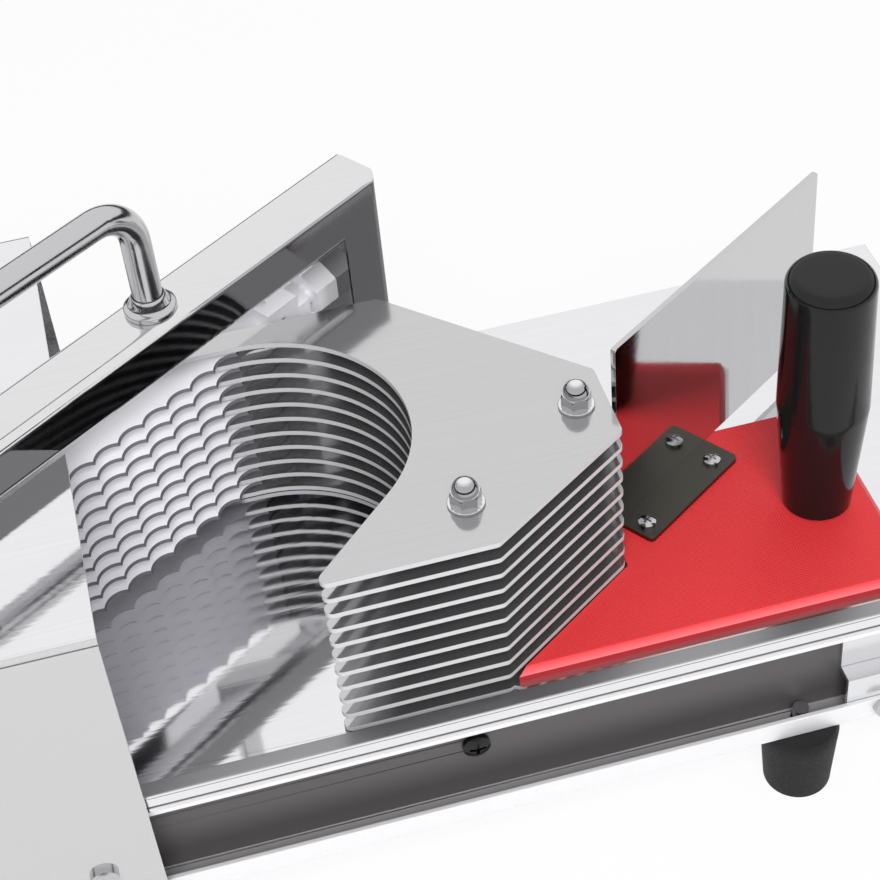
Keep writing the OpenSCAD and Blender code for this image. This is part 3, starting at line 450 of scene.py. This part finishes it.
class SLICER_OT_base(bpy.types.Operator):
    """Finish the base, its guides and its feet"""

    bl_idname = "slicer.base"
    bl_label = "Base"

    def execute(self, context):
        steel = context.scene.slicer_steel
        grip = context.scene.slicer_grip
        mirror = brushed_steel("mirror-polished stainless base plate", steel.mirror, steel.mirror_roughness,
                               streak=0.01, uneven=0.01)
        # Painted shade on the channels' webs and a painted highlight on their lips.
        channel = channel_steel("mill-finished channel with a polished lip", steel.channel, steel.flange,
                                steel.mirror)
        satin = brushed_steel("satin stainless cross member", steel.satin, roughness=0.26)
        bracket = brushed_steel("polished stainless bracket", steel.mirror, roughness=0.2)
        oxide = plated_steel("blackened steel screw", steel.oxide, roughness=0.3)
        # Painted shade: the rail's tops get the darker rail colour, and its upright faces get the mirror
        # colour.
        rail = brushed_steel("stainless rail with painted shade on top", steel.rail, roughness=0.36, cut=steel.mirror,
                             cut_roughness=0.14)
        bolt = plated_steel("bright stainless fastener", steel.satin, roughness=0.18)
        rubber = moulded_plastic("moulded black rubber", grip.rubber, roughness=0.6, grain=1.1 * MM)
        finish_with(["base_plate"], mirror)
        finish_with(["front_channel", "rear_channel"], channel)
        finish_with(["left_cross_member", "right_cross_member", "left_brace", "right_brace"], satin)
        finish_with(["corner_brackets"], bracket)
        finish_with(["front_rail", "rear_guide"], rail)
        finish_with(["bracket_bolts", "foot_screws"], bolt)
        finish_with(["brace_screws"], oxide)
        finish_with(["rubber_feet"], rubber)
        deburr(["base_plate", "front_channel", "rear_channel", "corner_brackets", "rear_guide",
                "rubber_feet"], steel.edge_round)
        deburr(["front_rail"], FINE_ROUND)
        return {"FINISHED"}


class SLICER_OT_housing(bpy.types.Operator):
    """Finish the housing over the outlet"""

    bl_idname = "slicer.housing"
    bl_label = "Housing"

    def execute(self, context):
        steel = context.scene.slicer_steel
        mirror = brushed_steel("mirror-polished stainless housing", steel.mirror, steel.mirror_roughness,
                               streak=0.01, uneven=0.01, cut=steel.sheet, cut_roughness=0.12,
                               cut_metallic=0.8)
        bolt = plated_steel("bright stainless housing screw", steel.satin, roughness=0.18)
        finish_with(["housing"], mirror)
        finish_with(["housing_screws", "housing_standoffs"], bolt)
        deburr(["housing"], steel.edge_round)
        return {"FINISHED"}


class SLICER_OT_blades(bpy.types.Operator):
    """Finish the blades, their holders and the frame that carries them"""

    bl_idname = "slicer.blades"
    bl_label = "Blades and frame"

    def execute(self, context):
        steel = context.scene.slicer_steel
        # Painted shade and highlight: upright faces take the dark side colour, and the rounded edges, from a
        # tilt of 0.15 up, keep the bright top colour as a highlight line.
        tube = brushed_steel("polished stainless tube with duller sides", steel.tube, roughness=0.07,
                             angle=BLADE_ANGLE, uneven=0.02, cut=steel.tube_side_painted_shade, cut_roughness=0.07,
                             lying=(0.15, 0.35))
        # Painted light and shade: near-white, almost matt flats stand in for light bounced between the
        # blades, and the scallops' dark colour is painted shade.
        ground = brushed_steel("satin-ground blade steel with hollow-ground scallops", steel.blade,
                               roughness=0.5, angle=BLADE_ANGLE, streak=0.04, metallic=0.05,
                               cut=steel.scallop_painted_shade, cut_metallic=0.3)
        holder = brushed_steel("milled stainless holder", steel.blade, roughness=0.42, angle=BLADE_ANGLE,
                               metallic=0.4)
        bolt = brushed_steel("turned stainless bolt", steel.blade, roughness=0.3, angle=BLADE_ANGLE,
                             metallic=0.35)
        finish_with(["blade_frame", "frame_end_cap"], tube)
        finish_with([n for n in NODES if n.startswith("blade_") and n != "blade_frame"], ground)
        finish_with(["near_holder", "far_holder"], holder)
        finish_with(["near_pin", "far_pin", "frame_screws", "tension_bolts", "tension_nuts"], bolt)
        deburr(["blade_frame", "frame_end_cap", "near_holder", "far_holder", "tension_nuts"],
               steel.edge_round)
        return {"FINISHED"}


class SLICER_OT_lift_handle(bpy.types.Operator):
    """Finish the lift handle and its collars"""

    bl_idname = "slicer.lift_handle"
    bl_label = "Lift handle"

    def execute(self, context):
        steel = context.scene.slicer_steel
        rod = plated_steel("polished stainless rod", steel.satin, roughness=0.15)
        finish_with(["lift_handle", "handle_collars"], rod)
        deburr(["lift_handle", "handle_collars"], steel.edge_round)
        return {"FINISHED"}


class SLICER_OT_pusher(bpy.types.Operator):
    """Finish the stack of pusher plates with its bolts and cap nuts"""

    bl_idname = "slicer.pusher"
    bl_label = "Pusher plates"

    def execute(self, context):
        steel = context.scene.slicer_steel
        plate = brushed_steel("satin-polished stainless plate", steel.sheet, steel.plate_roughness,
                              uneven=0.02, metallic=0.92, cut=steel.cut, cut_metallic=0.0)
        # Painted shade: the cap nuts' upright flats get the darker rail colour.
        nut = brushed_steel("bright plated cap nut with painted dark flats", steel.mirror, roughness=0.08, uneven=0.02,
                            cut=steel.rail, cut_roughness=0.1)
        turned = plated_steel("turned stainless spacer", steel.satin, roughness=0.22)
        plates = ["carriage_plate"] + [n for n in NODES if n.startswith("pusher_plate_")]
        finish_with(plates, plate)
        finish_with(["cap_nuts", "cap_washers"], nut)
        finish_with(["plate_spacers", "stack_bolts"], turned)
        deburr(plates + ["cap_nuts", "cap_washers"], steel.edge_round)
        deburr(["plate_spacers"], FINE_ROUND)
        return {"FINISHED"}


class SLICER_OT_board(bpy.types.Operator):
    """Finish the cutting board"""

    bl_idname = "slicer.board"
    bl_label = "Cutting board"

    def execute(self, context):
        board = context.scene.slicer_board
        top_z = max(v.co.z for v in NODES["cutting_board"].data.vertices)
        red = embossed_polyethylene("embossed red polyethylene", board.face, board.edge, board.side,
                                    board.emboss_pitch, top_z)
        finish_with(["cutting_board"], red)
        return {"FINISHED"}


class SLICER_OT_guard(bpy.types.Operator):
    """Finish the hand guard, its bracket and its screws"""

    bl_idname = "slicer.guard"
    bl_label = "Hand guard"

    def execute(self, context):
        steel = context.scene.slicer_steel
        sheet = brushed_steel("mirror-polished stainless guard", steel.sheet, roughness=0.07,
                              angle=BLADE_ANGLE, uneven=0.02)
        screw = plated_steel("plated pan-head screw", steel.plating, roughness=0.12)
        dark = brushed_steel("dark satin bracket steel", steel.bracket, roughness=0.38, angle=BLADE_ANGLE)
        finish_with(["guard"], sheet)
        finish_with(["guard_screws"], screw)
        finish_with(["guard_bracket"], dark)
        deburr(["guard", "guard_bracket"], steel.edge_round)
        return {"FINISHED"}


class SLICER_OT_grip(bpy.types.Operator):
    """Finish the grip and its stud"""

    bl_idname = "slicer.grip"
    bl_label = "Grip"

    def execute(self, context):
        grip = context.scene.slicer_grip
        steel = context.scene.slicer_steel
        phenolic = moulded_plastic("moulded black phenolic", grip.plastic, roughness=0.12, grain=2 * MM)
        stud = plated_steel("bright stainless stud", steel.satin, roughness=0.2)
        finish_with(["grip"], phenolic)
        finish_with(["grip_stud"], stud)
        deburr(["grip"], steel.edge_round)
        return {"FINISHED"}


class SLICER_OT_stage(bpy.types.Operator):
    """Make the floor, the world, the lamps and the camera"""

    bl_idname = "slicer.stage"
    bl_label = "Stage"

    def execute(self, context):
        stage = context.scene.slicer_stage
        self.make_floor(context, stage)
        self.make_world(context)
        self.make_lamps(context)
        self.make_flag(context)
        self.make_camera(context, stage)
        context.scene.view_settings.view_transform = "Standard"
        return {"FINISHED"}

    def make_object(self, context, name, shape):
        """Turns a finished bmesh into an object in the scene."""
        mesh = bpy.data.meshes.new(name)
        shape.to_mesh(mesh)
        shape.free()
        made = bpy.data.objects.new(name, mesh)
        context.scene.collection.objects.link(made)
        return made

    def make_floor(self, context, stage):
        """White paper that stays nearly white to the camera and in reflections."""
        shape = bmesh.new()
        bmesh.ops.create_grid(shape, x_segments=1, y_segments=1, size=FLOOR_HALF)
        floor = self.make_object(context, "floor", shape)
        made, tree, shader = new_material("matt white paper")
        shader.inputs["Base Color"].default_value = (*stage.floor, 1.0)
        shader.inputs["Roughness"].default_value = MATT_ROUGHNESS
        shader.inputs["Specular IOR Level"].default_value = 0.0
        path = add(tree, "ShaderNodeLightPath")
        seen = work_out(tree, "MAXIMUM", path.outputs["Is Camera Ray"], path.outputs["Is Glossy Ray"])
        share = work_out(tree, "MULTIPLY", seen, FLOOR_GLOW)
        glow = add(tree, "ShaderNodeEmission", {"Color": WHITE, "Strength": 1.0})
        mixed = add(tree, "ShaderNodeMixShader", i0=share, i1=shader.outputs["BSDF"],
                    i2=glow.outputs["Emission"])
        out = next(n for n in tree.nodes if n.type == "OUTPUT_MATERIAL")
        tree.links.new(mixed.outputs["Shader"], out.inputs["Surface"])
        floor.data.materials.append(made)

    def make_world(self, context):
        """Soft light from all round, plain white to the camera and in reflections."""
        world = bpy.data.worlds.new("studio")
        context.scene.world = world
        world.use_nodes = True
        tree = world.node_tree
        tree.nodes.clear()
        path = add(tree, "ShaderNodeLightPath")
        camera_or_mirror = work_out(tree, "ADD", path.outputs["Is Camera Ray"],
                                    path.outputs["Is Glossy Ray"], clamp=True)
        seen = work_out(tree, "ADD", camera_or_mirror, path.outputs["Is Transmission Ray"], clamp=True)
        light = add(tree, "ShaderNodeBackground", {"Color": WHITE, "Strength": WORLD_LIGHT})
        white = add(tree, "ShaderNodeBackground", {"Color": WHITE, "Strength": 1.0})
        mixed = add(tree, "ShaderNodeMixShader", i0=seen, i1=light.outputs["Background"],
                    i2=white.outputs["Background"])
        add(tree, "ShaderNodeOutputWorld", Surface=mixed.outputs["Shader"])

    def make_lamps(self, context):
        """Two softboxes, which reflections don't show."""
        for name, place, watts in SOFTBOXES:
            data = bpy.data.lights.new(name, "AREA")
            data.energy = watts
            data.size = SOFTBOX_SIDE
            lamp = bpy.data.objects.new(name, data)
            lamp.location = place
            lamp.rotation_mode = "QUATERNION"
            lamp.rotation_quaternion = (Vector(SOFTBOX_AIM) - Vector(place)).to_track_quat("-Z", "Y")
            lamp.visible_glossy = False
            context.scene.collection.objects.link(lamp)

    def make_flag(self, context):
        """A dark cloth round the horizon, which puts dark lines on rods and nuts and throws no shadow."""
        shape = bmesh.new()
        bmesh.ops.create_cone(shape, cap_ends=False, segments=FLAG_SIDES, radius1=FLAG_RADIUS,
                              radius2=FLAG_RADIUS, depth=FLAG_TOP - FLAG_BOTTOM,
                              matrix=Matrix.Translation((0, 0, (FLAG_TOP + FLAG_BOTTOM) / 2)))
        flag = self.make_object(context, "flag", shape)
        made, _, shader = new_material("black flag cloth")
        shader.inputs["Base Color"].default_value = (*hex_colour(FLAG_COLOUR), 1.0)
        shader.inputs["Roughness"].default_value = MATT_ROUGHNESS
        flag.data.materials.append(made)
        flag.visible_camera = False
        flag.visible_diffuse = False
        flag.visible_shadow = False

    def make_camera(self, context, stage):
        """The camera, from its place and its three angles."""
        right = Vector((math.cos(stage.azimuth), math.sin(stage.azimuth), 0))
        level = Vector((-math.sin(stage.azimuth), math.cos(stage.azimuth), 0))
        ahead = level * math.cos(stage.elevation) - Vector((0, 0, math.sin(stage.elevation)))
        up = right.cross(ahead)
        side = right * math.cos(stage.roll) + up * math.sin(stage.roll)
        top = up * math.cos(stage.roll) - right * math.sin(stage.roll)
        data = bpy.data.cameras.new("camera")
        data.lens = stage.lens
        data.sensor_width = SENSOR_WIDTH
        data.clip_start = NEAREST_SEEN
        camera = bpy.data.objects.new("camera", data)
        turn = Matrix((side, top, -ahead)).transposed().to_4x4()
        camera.matrix_world = Matrix.Translation(stage.place) @ turn
        context.scene.collection.objects.link(camera)
        context.scene.camera = camera


class SLICER_PT_panel(bpy.types.Panel):
    """The slicer's pieces, in the order in which they are made"""

    bl_idname = "SLICER_PT_panel"
    bl_label = "Tomato Slicer"
    bl_space_type = "VIEW_3D"
    bl_region_type = "UI"
    bl_category = "Slicer"

    def draw(self, context):
        column = self.layout.column()
        for operator in PIECES:
            column.operator(operator.bl_idname)
        for name, group in SETTINGS.items():
            box = self.layout.box()
            for key in group.__annotations__:
                box.prop(getattr(context.scene, name), key)


SETTINGS = {
    "slicer_steel": SteelSettings,
    "slicer_board": BoardSettings,
    "slicer_grip": GripSettings,
    "slicer_stage": StageSettings,
}
PIECES = (SLICER_OT_base, SLICER_OT_housing, SLICER_OT_blades, SLICER_OT_lift_handle, SLICER_OT_pusher,
          SLICER_OT_board, SLICER_OT_guard, SLICER_OT_grip, SLICER_OT_stage)


def register():
    for group in SETTINGS.values():
        bpy.utils.register_class(group)
    for operator in PIECES:
        bpy.utils.register_class(operator)
    bpy.utils.register_class(SLICER_PT_panel)
    for name, group in SETTINGS.items():
        setattr(bpy.types.Scene, name, bpy.props.PointerProperty(type=group))


def unregister():
    for name in SETTINGS:
        delattr(bpy.types.Scene, name)
    bpy.utils.unregister_class(SLICER_PT_panel)
    for operator in reversed(PIECES):
        bpy.utils.unregister_class(operator)
    for group in reversed(list(SETTINGS.values())):
        bpy.utils.unregister_class(group)


def main():
    register()
    for operator in PIECES:
        family, name = operator.bl_idname.split(".")
        getattr(getattr(bpy.ops, family), name)()
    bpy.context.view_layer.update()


if __name__ == "__main__":
    main()
